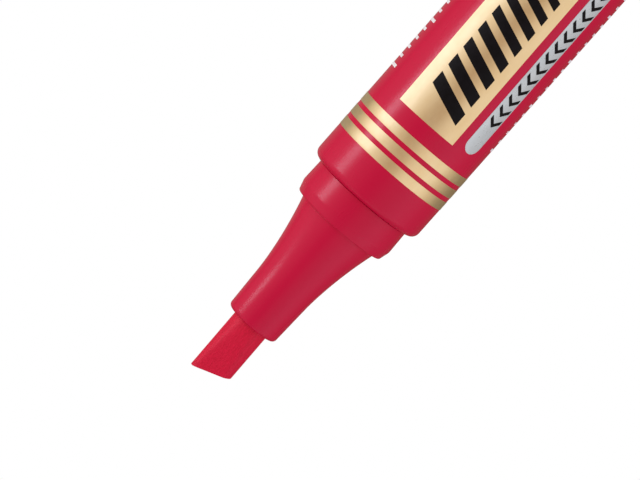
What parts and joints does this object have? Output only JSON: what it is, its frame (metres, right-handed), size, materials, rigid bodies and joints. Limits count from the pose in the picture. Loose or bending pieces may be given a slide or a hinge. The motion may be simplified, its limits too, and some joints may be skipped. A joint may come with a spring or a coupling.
{
  "type": "felt tip marker",
  "caption": "Thick round felt tip marker with a chisel nib, flared nose cone, foil bands and label panel, and a clipped cap pushed onto its tail.",
  "frame": {"origin": "centre of the cap's flat closed end, which the marker stands on", "axes": "+Z along the marker's axis towards the nib; -Y faces out of the label panel and the clip; the nib's longest corner is on +X"},
  "size_m": [0.0176, 0.02, 0.1625],
  "materials": {
    "red_gloss": "gloss",
    "natural_plastic": "satin",
    "inked_felt": "matte",
    "inked_fibre": "matte",
    "film": "gloss",
    "gold_foil": "satin",
    "silver_foil": "satin"
  },
  "bodies": {
    "cap": {"cap_shell": "red_gloss", "cap_inner_seal": "natural_plastic"},
    "clip": {"cap_clip": "red_gloss"},
    "pen": {"barrel": "red_gloss", "nose_cone": "red_gloss", "chisel_nib": "inked_felt", "ink_reservoir": "inked_fibre", "reservoir_film": "film", "rear_plug": "red_gloss", "foil_band_1": "gold_foil", "foil_band_2": "gold_foil", "foil_band_3": "gold_foil", "foil_panel": "gold_foil", "foil_pill": "silver_foil"}
  },
  "joints": [
    {"name": "cap_pull", "type": "slide", "parent": "cap", "child": "pen", "axis": [0, 0, 1], "range_m": [0, 0.03]},
    {"name": "clip_flex", "type": "hinge", "parent": "cap", "child": "clip", "pos_m": [0, -0.0106, 0.00615], "axis": [1, 0, 0], "range_deg": [0, 6], "stiffness_Nm_per_rad": 0.5, "springref_deg": -1.15}
  ]
}
